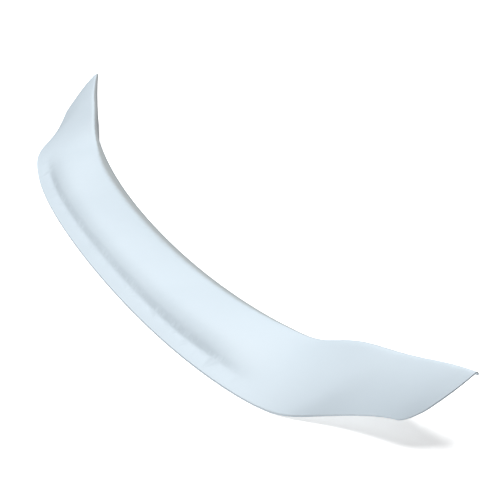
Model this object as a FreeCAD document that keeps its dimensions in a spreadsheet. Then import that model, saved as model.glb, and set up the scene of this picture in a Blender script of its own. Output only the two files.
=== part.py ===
# Trunk lid spoiler: one thin moulded shell, open underneath, with a flat bonding strip along its
# leading edge, a rolled trailing lip and two end fins that sweep up and back to a point.
# Axes in millimetres: X across the car, Y from the leading edge to the lip, Z up from the lid.

import FreeCAD
import Part

import math
import os

# Driving dimensions
# across is measured from the middle of the car, back along Y, up from the face it rests on
SIZES = {
    # shell
    "wall": 3.0,
    "edge_thickness": 3.0,
    "end_thickness": 2.0,
    "land_width": 18.0,
    "foot_width": 9.0,
    # leading edge: it bows forward in the middle and turns back at the corner
    "lead_mid_back": -127.0,
    "lead_inner_across": 182.0,
    "lead_inner_back": -121.0,
    "lead_outer_across": 300.0,
    "lead_outer_back": -109.0,
    "lead_side_across": 410.0,
    "lead_side_back": -87.8,
    "corner_across": 470.0,
    "corner_back": -68.2,
    # lower edge of the fin, rising over an arch to the heel: each point is stated from the one before
    "bend_out": 30.0,
    "bend_back": 16.6,
    "bend_rise": 1.5,
    "arch_out": 33.0,
    "arch_back": 32.6,
    "arch_rise": 8.9,
    "flare_out": 33.0,
    "flare_back": 29.5,
    "flare_rise": 12.9,
    "heel_out": 36.0,
    "heel_back": 24.5,
    "heel_rise": 11.9,
    "heel_overrun": 50.0,
    "heel_drop": 16.0,
    # outer end of the fin, seen from above: it starts clear of the heel, rounds it and runs to the tip
    "end_start_in": 2.0,
    "end_start_ahead": 3.0,
    "end_round_in": 16.7,
    "end_round_ahead": 63.8,
    "end_side_in": 8.5,
    "end_side_ahead": 45.0,
    "end_rise_in": 1.0,
    "end_rise_ahead": 19.0,
    "end_clearance": 12.0,
    # trailing lip, from the middle to the tip of the fin
    "lip_mid_back": 6.0,
    "lip_mid_up": 15.0,
    "lip_inner_across": 237.0,
    "lip_inner_back": 15.0,
    "lip_inner_up": 23.0,
    "lip_outer_across": 324.0,
    "lip_outer_back": 25.0,
    "lip_outer_up": 29.4,
    "lip_side_across": 386.0,
    "lip_side_back": 35.0,
    "lip_side_up": 36.3,
    "notch_across": 434.0,
    "notch_back": 46.0,
    "notch_up": 45.2,
    "hump_across": 485.0,
    "hump_back": 64.3,
    "hump_up": 66.8,
    "fin_across": 560.0,
    "fin_back": 90.6,
    "fin_up": 81.8,
    "tip_across": 644.0,
    "tip_back": 125.0,
    "tip_up": 96.5,
    "tip_overrun": 25.0,
    "tip_drop": 6.0,
    # cross-section
    "strip_width": 26.0,
    "strip_rise": 8.5,
    "deck_bulge": 22.0,
    "riser_full_across": 310.0,
    "riser_gone_across": 465.0,
    "fin_root_across": 450.0,
    "ridge_across": 498.0,
    "fin_crown_across": 535.0,
    "fin_bulge": 15.0,
    "roll_full_across": 250.0,
    "roll_slim_across": 440.0,
    "lip_radius": 32.0,
    "foot_rise": 6.0,
    "fin_radius": 8.0,
    "tip_radius": 4.5,
    "wall_grounded_across": 390.0,
    "tip_wall_depth": 1.0,
    # block that trims the underside level
    "trim_depth": 30.0,
    "trim_margin": 20.0,
}

# Shares of the blade, of the fin's root and of the fin at which a section is drawn
BLADE_SHARES = (0.0, 0.18, 0.36, 0.53, 0.67, 0.78, 0.87, 0.94, 1.0)
ROOT_SHARES = (0.5, 1.0)
FIN_SHARES = (0.1, 0.22, 0.36, 0.52, 0.68, 0.84, 1.0)
# Shares of the strip and of the deck at which the skin is drawn, closer at the crease between them
STRIP_SHARES = (0.0, 0.4, 0.75)
DECK_SHARES = (0.0, 0.07, 0.15, 0.25, 0.4, 0.6, 0.8, 1.0)
DECK_STEEPNESS = 4.0
FIN_STEEPNESS = 1.0
# Shares of the lip's roll at which its round is drawn, and how far it turns in the middle
ROLL_SHARES = (0.0, 0.25, 0.5, 0.75, 1.0)
ROLL_TURN = math.radians(78.0)
# The lip points name the roll where it leans this far over
LIP_LEAN = math.radians(52.8)
# Stock left below the rest plane for the trim to take off
TRIM_STOCK = 1.5


def make_sheet(document):
    sheet = document.addObject("Spreadsheet::Sheet", "Sizes")
    for row, (alias, value) in enumerate(SIZES.items(), start=1):
        sheet.set(f"A{row}", alias)
        sheet.set(f"B{row}", str(value))
        sheet.setAlias(f"B{row}", alias)
    document.recompute()
    return sheet


def guide_curve(points):
    """A smooth curve through the named points of one side and their mirror images."""
    mirrored = [FreeCAD.Vector(-p.x, p.y, p.z) for p in reversed(points) if p.x > 0]
    curve = Part.BSplineCurve()
    curve.interpolate(mirrored + points)
    return curve


def run_on(points, distance, drop):
    """The named points and one more, straight on from the last two, for the skin that is cut away."""
    last = points[-1]
    ahead = last - points[-2]
    reach = distance / math.hypot(ahead.x, ahead.y)
    return points + [last + ahead * reach - FreeCAD.Vector(0, 0, drop)]


def parameter_across(curve, across):
    """Where a guide curve is at a distance from the middle."""
    low = curve.FirstParameter
    high = curve.LastParameter
    for _ in range(60):
        middle = (low + high) / 2
        if curve.value(middle).x < across:
            low = middle
        else:
            high = middle
    return (low + high) / 2


def points_across(curve, distances):
    return [curve.value(parameter_across(curve, across)) for across in distances]


def points_to_end(curve, across, shares):
    """Points at shares of the curve's length between a distance from the middle and its end."""
    start = parameter_across(curve, across)
    length = curve.length(start, curve.LastParameter)
    return [curve.value(curve.parameterAtDistance(share * length, start)) for share in shares]


def mixed(start, end, shares):
    return [start + (end - start) * share for share in shares]


def share_between(value, start, end):
    """Zero before start, one after end, smooth between."""
    share = min(max((value - start) / (end - start), 0.0), 1.0)
    return share * share * (3.0 - 2.0 * share)


def bulge_shape(share, steepness):
    """Height of a bulge along its length: nought at both ends, leaning to the start."""
    return (1.0 - (1.0 - share) ** steepness) * (1.0 - share)


def skin_slope(along, up, centre_along, centre_up, radius, bulge):
    """Slope at which a bulged line from a point meets the top of a circle."""
    reach = math.hypot(centre_along - along, centre_up - up)
    touching = math.asin(radius / reach)
    return math.atan2(centre_up - up, centre_along - along) + touching - bulge / reach


def on_circle(centre_along, centre_up, radius, lean):
    """Point of a circle that leans this far over from its top."""
    return (centre_along + radius * math.sin(lean), centre_up + radius * math.cos(lean))


def offset_below(points, distance):
    """Points moved square to their polyline, to its lower side."""
    moved = []
    for index in range(1, len(points) - 1):
        before = points[index - 1]
        after = points[index + 1]
        run = after[0] - before[0]
        rise = after[1] - before[1]
        length = math.hypot(run, rise)
        moved.append(
            (
                points[index][0] + distance * rise / length,
                points[index][1] - distance * run / length,
            )
        )
    return moved


def flat(point):
    return FreeCAD.Vector(point[0], point[1], 0)


def spline(points, knots):
    """A smooth curve through points, with the same knots in every section."""
    curve = Part.BSplineCurve()
    curve.interpolate(Points=[flat(p) for p in points], Parameters=knots)
    return curve


def roll(centre_along, centre_up, radius, first_lean, end_up):
    """Points round the top of a circle, from one lean down to a height."""
    last_lean = math.acos((end_up - centre_up) / radius)
    leans = mixed(first_lean, last_lean, ROLL_SHARES)
    return [on_circle(centre_along, centre_up, radius, lean) for lean in leans]


def line(start, end):
    return Part.LineSegment(flat(start), flat(end))


def section_outline(size, lead, lip):
    """Closed outline of the shell in the upright plane from a leading point to a lip point.

    Its first coordinate runs along from the leading point and its second one up.
    """
    chord = math.hypot(lip.x - lead.x, lip.y - lead.y)
    end_share = share_between(lip.x, size.fin_crown_across, size.tip_across)
    fin_bulge = size.fin_bulge * share_between(lip.x, size.ridge_across, size.fin_crown_across)
    slim_share = share_between(lip.x, size.roll_full_across, size.roll_slim_across)
    radius = size.lip_radius + (size.fin_radius - size.lip_radius) * slim_share
    radius += (size.tip_radius - size.fin_radius) * end_share
    centre_along = chord - radius * math.sin(LIP_LEAN)
    centre_up = lip.z - radius * math.cos(LIP_LEAN)

    # Where the skin meets the roll: the stepped blade section fades into the plain fin section
    thin_share = share_between(lip.x, size.ridge_across, size.tip_across)
    wall = size.wall + (size.end_thickness - size.wall) * thin_share
    start_up = lead.z + size.edge_thickness + (size.end_thickness - size.edge_thickness) * thin_share
    strip_up = start_up + size.strip_rise
    blade_share = 1.0 - share_between(lead.x, size.riser_full_across, size.riser_gone_across)
    full = size.lip_mid_back - size.lead_mid_back
    strip_end = size.strip_width * chord / full
    deck_slope = skin_slope(strip_end, strip_up, centre_along, centre_up, radius, size.deck_bulge)
    fin_slope = skin_slope(0.0, start_up, centre_along, centre_up, radius, fin_bulge)
    slope = blade_share * deck_slope + (1.0 - blade_share) * fin_slope
    roll_start = on_circle(centre_along, centre_up, radius, -slope)

    # Outer skin, at the same shares of its length in every section
    deck = full - size.strip_width
    knots = [share * size.strip_width for share in STRIP_SHARES]
    knots += [size.strip_width + share * deck for share in DECK_SHARES]
    strip = size.strip_width / full
    skin = []
    for knot in knots:
        share = knot / full
        if share < strip:
            stepped = start_up + size.strip_rise * share / strip
        else:
            deck_share = (share - strip) / (1.0 - strip)
            stepped = strip_up + (roll_start[1] - strip_up) * deck_share
            stepped += size.deck_bulge * bulge_shape(deck_share, DECK_STEEPNESS)
        plain = start_up + (roll_start[1] - start_up) * share
        plain += fin_bulge * bulge_shape(share, FIN_STEEPNESS)
        up = blade_share * stepped + (1.0 - blade_share) * plain
        skin.append((share * roll_start[0], up))
    strip_slope = math.atan2(skin[1][1] - skin[0][1], skin[1][0] - skin[0][0])
    roll_knots = [full + share * ROLL_TURN * size.lip_radius for share in ROLL_SHARES]

    # Rear wall below the roll, down to the rest plane in the blade and fading out at the tip
    wall_share = share_between(lip.x, size.wall_grounded_across, size.tip_across)
    wall_up = max(centre_up, size.foot_rise)
    outer = skin[:-1] + roll(centre_along, centre_up, radius, -slope, wall_up)
    wall_along = outer[-1][0]
    foot_up = -TRIM_STOCK + wall_share * (wall_up - size.tip_wall_depth + TRIM_STOCK)
    foot_along = wall_along + (wall_up - foot_up) * (wall_up - centre_up) / (wall_along - centre_along)
    foot = size.foot_width + wall_share * (wall - size.foot_width)

    # Underside: a flat land below the strip, then the skin's own line one wall lower
    land = size.land_width * roll_start[0] / full
    lift_share = share_between(lead.x, size.corner_across, size.corner_across + size.bend_out)
    land_up = lead.z - TRIM_STOCK * (1.0 - lift_share)
    land_end = (land, land_up + (1.0 - blade_share) * math.tan(strip_slope) * land)
    crease = len(STRIP_SHARES)
    inner = [land_end] + offset_below(skin, wall)[crease:]
    inner += roll(centre_along, centre_up, radius - wall, -slope, wall_up)
    inner_knots = [size.land_width] + knots[crease + 1:-1] + roll_knots

    return [
        spline(outer, knots[:-1] + roll_knots),
        line(outer[-1], (foot_along, foot_up)),
        line((foot_along, foot_up), (foot_along - foot, foot_up)),
        line((foot_along - foot, foot_up), inner[-1]),
        spline(inner, inner_knots),
        line(land_end, (0.0, land_up)),
        line((0.0, land_up), (0.0, start_up)),
    ]


def add_section(body, name, outline, lead, lip):
    """A sketch of one outline, in the upright plane through its two guide points."""
    sketch = body.newObject("Sketcher::SketchObject", name)
    along = FreeCAD.Vector(lip.x - lead.x, lip.y - lead.y, 0).normalize()
    up = FreeCAD.Vector(0, 0, 1)
    turn = FreeCAD.Rotation(along, up, along.cross(up), "XYZ")
    sketch.Placement = FreeCAD.Placement(FreeCAD.Vector(lead.x, lead.y, 0), turn)
    sketch.addGeometry(outline)
    return sketch


def end_outline(size, heel, tip, beyond, side):
    """Area seen from above that is cut off one end of the skin."""
    start = (heel.x - size.end_start_in, heel.y - size.end_start_ahead)
    clear_back = tip.y + size.end_clearance
    edge = [
        start,
        (tip.x - size.end_round_in, tip.y - size.end_round_ahead),
        (tip.x - size.end_side_in, tip.y - size.end_side_ahead),
        (tip.x - size.end_rise_in, tip.y - size.end_rise_ahead),
        (tip.x, clear_back),
    ]
    corners = [
        (tip.x, clear_back + size.trim_margin),
        (beyond, clear_back + size.trim_margin),
        (beyond, start[1] - size.trim_margin),
        (start[0] + size.trim_margin, start[1] - size.trim_margin),
    ]
    curve = Part.BSplineCurve()
    curve.interpolate([FreeCAD.Vector(side * across, back, 0) for across, back in edge])
    path = [(side * across, back) for across, back in (edge[-1], *corners, edge[0])]
    return [curve] + [line(start, end) for start, end in zip(path, path[1:])]


def check(document):
    for item in document.Objects:
        if "Invalid" in item.State or "Error" in item.State:
            raise RuntimeError(f"{item.Label} is in state {item.State}")
    for item in document.Objects:
        if item.TypeId.startswith("PartDesign") and hasattr(item, "Shape"):
            if item.Shape.isNull() or not item.Shape.isValid():
                raise RuntimeError(f"{item.Label} has no valid shape")


def main():
    document = FreeCAD.newDocument("trunk_spoiler")
    size = make_sheet(document)

    corner = FreeCAD.Vector(size.corner_across, size.corner_back, 0)
    bend = corner + FreeCAD.Vector(size.bend_out, size.bend_back, size.bend_rise)
    arch = bend + FreeCAD.Vector(size.arch_out, size.arch_back, size.arch_rise)
    flare = arch + FreeCAD.Vector(size.flare_out, size.flare_back, size.flare_rise)
    heel = flare + FreeCAD.Vector(size.heel_out, size.heel_back, size.heel_rise)
    tip = FreeCAD.Vector(size.tip_across, size.tip_back, size.tip_up)
    lead_named = [
        FreeCAD.Vector(0, size.lead_mid_back, 0),
        FreeCAD.Vector(size.lead_inner_across, size.lead_inner_back, 0),
        FreeCAD.Vector(size.lead_outer_across, size.lead_outer_back, 0),
        FreeCAD.Vector(size.lead_side_across, size.lead_side_back, 0),
        corner,
        bend,
        arch,
        flare,
        heel,
    ]
    lip_named = [
        FreeCAD.Vector(0, size.lip_mid_back, size.lip_mid_up),
        FreeCAD.Vector(size.lip_inner_across, size.lip_inner_back, size.lip_inner_up),
        FreeCAD.Vector(size.lip_outer_across, size.lip_outer_back, size.lip_outer_up),
        FreeCAD.Vector(size.lip_side_across, size.lip_side_back, size.lip_side_up),
        FreeCAD.Vector(size.notch_across, size.notch_back, size.notch_up),
        FreeCAD.Vector(size.hump_across, size.hump_back, size.hump_up),
        FreeCAD.Vector(size.fin_across, size.fin_back, size.fin_up),
        tip,
    ]
    lead_curve = guide_curve(run_on(lead_named, size.heel_overrun, size.heel_drop))
    lip_curve = guide_curve(run_on(lip_named, size.tip_overrun, size.tip_drop))

    # Pairs of guide points, one for each section of the right half
    root = size.fin_root_across
    lead_points = points_across(lead_curve, mixed(0.0, root, BLADE_SHARES))
    lead_points += points_across(lead_curve, mixed(root, bend.x, ROOT_SHARES))
    lead_points += points_to_end(lead_curve, bend.x, FIN_SHARES)
    lip_points = points_across(lip_curve, mixed(0.0, root, BLADE_SHARES))
    lip_points += points_across(lip_curve, mixed(root, size.ridge_across, ROOT_SHARES))
    lip_points += points_to_end(lip_curve, size.ridge_across, FIN_SHARES)
    pairs = list(zip(lead_points, lip_points))

    body = document.addObject("PartDesign::Body", "spoiler_shell")
    body.Label = "spoiler_shell"
    outlines = [section_outline(size, lead, lip) for lead, lip in pairs]
    sections = []
    for index in range(len(pairs) - 1, 0, -1):
        lead, lip = (FreeCAD.Vector(-p.x, p.y, p.z) for p in pairs[index])
        sections.append(add_section(body, f"Left_{index}", outlines[index], lead, lip))
    sections.append(add_section(body, "Middle", outlines[0], *pairs[0]))
    for index in range(1, len(pairs)):
        sections.append(add_section(body, f"Right_{index}", outlines[index], *pairs[index]))

    skin = body.newObject("PartDesign::AdditiveLoft", "Skin")
    skin.Profile = sections[0]
    skin.Sections = sections[1:]
    document.recompute()

    ends = body.newObject("Sketcher::SketchObject", "EndOutlines")
    beyond = max(lead_points[-1].x, lip_points[-1].x) + size.trim_margin
    for side in (1, -1):
        ends.addGeometry(end_outline(size, heel, tip, beyond, side))
    cut = body.newObject("PartDesign::Pocket", "EndCut")
    cut.Profile = ends
    cut.SideType = "Symmetric"
    cut.setExpression("Length", "2 * (Sizes.tip_up + Sizes.trim_margin)")
    document.recompute()

    trim = body.newObject("PartDesign::SubtractiveBox", "RestPlane")
    trim.setExpression("Length", "2 * (Sizes.tip_across + Sizes.trim_margin)")
    trim.setExpression("Width", "Sizes.tip_back - Sizes.lead_mid_back + 2 * Sizes.trim_margin")
    trim.setExpression("Height", "Sizes.trim_depth")
    trim.setExpression("Placement.Base.x", "-(Sizes.tip_across + Sizes.trim_margin)")
    trim.setExpression("Placement.Base.y", "Sizes.lead_mid_back - Sizes.trim_margin")
    trim.setExpression("Placement.Base.z", "-Sizes.trim_depth")
    document.recompute()

    check(document)
    os.makedirs("parts", exist_ok=True)
    body.Shape.exportStep(f"parts/{body.Label}.step")
    print(f"{body.Label}: {len(body.Shape.Faces)} faces, {body.Shape.Volume / 1000:.0f} cm3")


main()
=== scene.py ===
"""Trunk spoiler in primed plastic, lying on a pale studio floor."""

import bpy
from mathutils import Matrix, Vector

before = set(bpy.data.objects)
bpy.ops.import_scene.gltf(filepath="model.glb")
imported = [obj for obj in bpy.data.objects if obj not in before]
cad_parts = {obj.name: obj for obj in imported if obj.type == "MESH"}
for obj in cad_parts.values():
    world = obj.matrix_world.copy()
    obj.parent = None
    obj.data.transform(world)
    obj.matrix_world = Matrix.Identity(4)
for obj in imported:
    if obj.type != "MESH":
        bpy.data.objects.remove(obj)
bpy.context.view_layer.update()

# Camera: its place in the part's frame, and the way it faces
CAMERA_PLACE = Vector((1.3726, -0.5404, 0.7366))
CAMERA_RIGHT = Vector((0.45648, 0.88974, 0.0))
CAMERA_UP = Vector((-0.40305, 0.20679, 0.89151))
CAMERA_LENS_MM = 72.0
CAMERA_SENSOR_MM = 36.0

# Floor
FLOOR_HALF_SIZE = 300.0
FLOOR_COLOUR = (0.93, 0.93, 0.93, 1.0)
FLOOR_GLOW = 0.66
FLOOR_ROUGHNESS = 1.0
FLOOR_SPECULAR = 0.0

# Light: the side each lamp shines from, and its spread in radians
KEY_FROM = Vector((-0.2, -0.04, 1.0))
KEY_POWER = 3.44
KEY_SPREAD = 0.6
FRONT_CARD_FROM = Vector((0.2, -0.68, -0.7))
FRONT_CARD_POWER = 2.5
BACK_CARD_FROM = Vector((0.1, 0.9, -0.3))
BACK_CARD_POWER = 1.6
CARD_SPREAD = 0.7
WORLD_COLOUR = (0.97, 0.98, 1.0, 1.0)
WORLD_STRENGTH = 0.04

# Primer: its two shades, and the stretch of the mottle over which one turns into the other
PRIMER_COLOUR = (0.71, 0.81, 0.885, 1.0)
PRIMER_DEEPER = (0.69, 0.79, 0.865, 1.0)
PRIMER_ROUGHNESS = (0.48, 0.56)
PRIMER_SPECULAR = 0.4
MOTTLE_SCALE = 9.0
MOTTLE_DETAIL = 4.0
MOTTLE_STRETCH = (0.35, 0.65)

# Painted shade at the back: the colour greys where the skin leans back, away from the light; how far the
# skin leans back where it starts, and where it is full
PAINTED_SHADE_COLOUR = (0.46, 0.5, 0.515, 1.0)
PAINTED_SHADE_TURN = (0.06, 0.4)

# Orange peel
PEEL_SCALE = 900.0
PEEL_DETAIL = 2.0
PEEL_STRENGTH = 0.04
PEEL_HEIGHT = 0.0004


def link(tree, source, output, target, socket):
    tree.links.new(source.outputs[output], target.inputs[socket])


def add_noise(tree, place, scale, detail):
    noise = tree.nodes.new("ShaderNodeTexNoise")
    noise.inputs["Scale"].default_value = scale
    noise.inputs["Detail"].default_value = detail
    link(tree, place, "Object", noise, "Vector")
    return noise


def mottled_primer(tree, mottle):
    """The primer's colour, a little deeper in places."""
    colour = tree.nodes.new("ShaderNodeValToRGB")
    deeper, paler = colour.color_ramp.elements
    deeper.position, paler.position = MOTTLE_STRETCH
    deeper.color = PRIMER_DEEPER
    paler.color = PRIMER_COLOUR
    link(tree, mottle, "Fac", colour, "Fac")
    return colour


def share_of_painted_shade(tree):
    """How much painted shade a point gets, from nothing on level skin to all on skin that leans back, away
    from the light.
    """
    facing = tree.nodes.new("ShaderNodeNewGeometry")
    lean = tree.nodes.new("ShaderNodeSeparateXYZ")
    link(tree, facing, "Normal", lean, "Vector")
    share = tree.nodes.new("ShaderNodeMapRange")
    share.interpolation_type = "SMOOTHSTEP"
    share.inputs["From Min"].default_value = PAINTED_SHADE_TURN[0]
    share.inputs["From Max"].default_value = PAINTED_SHADE_TURN[1]
    link(tree, lean, "Y", share, "Value")
    return share


def primed_plastic():
    """Satin primer, with a faint mottle in colour and gloss and the fine orange peel of the spray,
    and painted shade: the colour turns greyer on skin that leans back, away from the light."""
    material = bpy.data.materials.new("primed_plastic")
    material.use_nodes = True
    tree = material.node_tree
    shader = tree.nodes["Principled BSDF"]
    shader.inputs["Specular IOR Level"].default_value = PRIMER_SPECULAR
    place = tree.nodes.new("ShaderNodeTexCoord")
    mottle = add_noise(tree, place, MOTTLE_SCALE, MOTTLE_DETAIL)

    # Painted shade: the primer is mixed towards grey on skin that leans back, away from the light.
    primer_with_painted_shade = tree.nodes.new("ShaderNodeMixRGB")
    primer_with_painted_shade.inputs["Color2"].default_value = PAINTED_SHADE_COLOUR
    link(tree, share_of_painted_shade(tree), "Result", primer_with_painted_shade, "Fac")
    link(tree, mottled_primer(tree, mottle), "Color", primer_with_painted_shade, "Color1")
    link(tree, primer_with_painted_shade, "Color", shader, "Base Color")

    gloss = tree.nodes.new("ShaderNodeMapRange")
    gloss.inputs["To Min"].default_value = PRIMER_ROUGHNESS[0]
    gloss.inputs["To Max"].default_value = PRIMER_ROUGHNESS[1]
    link(tree, mottle, "Fac", gloss, "Value")
    link(tree, gloss, "Result", shader, "Roughness")

    bump = tree.nodes.new("ShaderNodeBump")
    bump.inputs["Strength"].default_value = PEEL_STRENGTH
    bump.inputs["Distance"].default_value = PEEL_HEIGHT
    link(tree, add_noise(tree, place, PEEL_SCALE, PEEL_DETAIL), "Fac", bump, "Height")
    link(tree, bump, "Normal", shader, "Normal")
    return material


def floor_material():
    material = bpy.data.materials.new("floor")
    material.use_nodes = True
    shader = material.node_tree.nodes["Principled BSDF"]
    shader.inputs["Base Color"].default_value = FLOOR_COLOUR
    shader.inputs["Roughness"].default_value = FLOOR_ROUGHNESS
    shader.inputs["Specular IOR Level"].default_value = FLOOR_SPECULAR
    shader.inputs["Emission Color"].default_value = FLOOR_COLOUR
    shader.inputs["Emission Strength"].default_value = FLOOR_GLOW
    return material


def add_floor():
    """A wide floor that takes the part's shadow, and gives the part no light or shadow in return."""
    mesh = bpy.data.meshes.new("floor")
    half = FLOOR_HALF_SIZE
    corners = [(-half, -half, 0), (half, -half, 0), (half, half, 0), (-half, half, 0)]
    mesh.from_pydata(corners, [], [(0, 1, 2, 3)])
    mesh.materials.append(floor_material())
    floor = bpy.data.objects.new("floor", mesh)
    bpy.context.scene.collection.objects.link(floor)
    floor.visible_diffuse = False
    floor.visible_glossy = False
    floor.visible_shadow = False


def add_lamp(name, came_from, power, spread):
    """A far, broad source: its light has one direction everywhere, and its shadows have soft edges."""
    lamp = bpy.data.lights.new(name, "SUN")
    lamp.energy = power
    lamp.angle = spread
    holder = bpy.data.objects.new(name, lamp)
    holder.rotation_euler = (-came_from).to_track_quat("-Z", "Y").to_euler()
    bpy.context.scene.collection.objects.link(holder)


def add_light():
    """A soft key overhead, and a weaker light from below on each long side, as white cards would give."""
    add_lamp("key", KEY_FROM, KEY_POWER, KEY_SPREAD)
    add_lamp("front_card", FRONT_CARD_FROM, FRONT_CARD_POWER, CARD_SPREAD)
    add_lamp("back_card", BACK_CARD_FROM, BACK_CARD_POWER, CARD_SPREAD)
    world = bpy.data.worlds.new("studio")
    world.use_nodes = True
    sky = world.node_tree.nodes["Background"]
    sky.inputs["Color"].default_value = WORLD_COLOUR
    sky.inputs["Strength"].default_value = WORLD_STRENGTH
    bpy.context.scene.world = world


def add_camera():
    data = bpy.data.cameras.new("camera")
    data.lens = CAMERA_LENS_MM
    data.sensor_width = CAMERA_SENSOR_MM
    camera = bpy.data.objects.new("camera", data)
    turn = Matrix((CAMERA_RIGHT, CAMERA_UP, CAMERA_RIGHT.cross(CAMERA_UP))).transposed()
    camera.matrix_world = Matrix.Translation(CAMERA_PLACE) @ turn.to_4x4()
    bpy.context.scene.collection.objects.link(camera)
    bpy.context.scene.camera = camera


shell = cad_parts["spoiler_shell"]
shell.data.materials.clear()
shell.data.materials.append(primed_plastic())
add_floor()
add_light()
add_camera()
bpy.context.scene.view_settings.view_transform = "Standard"
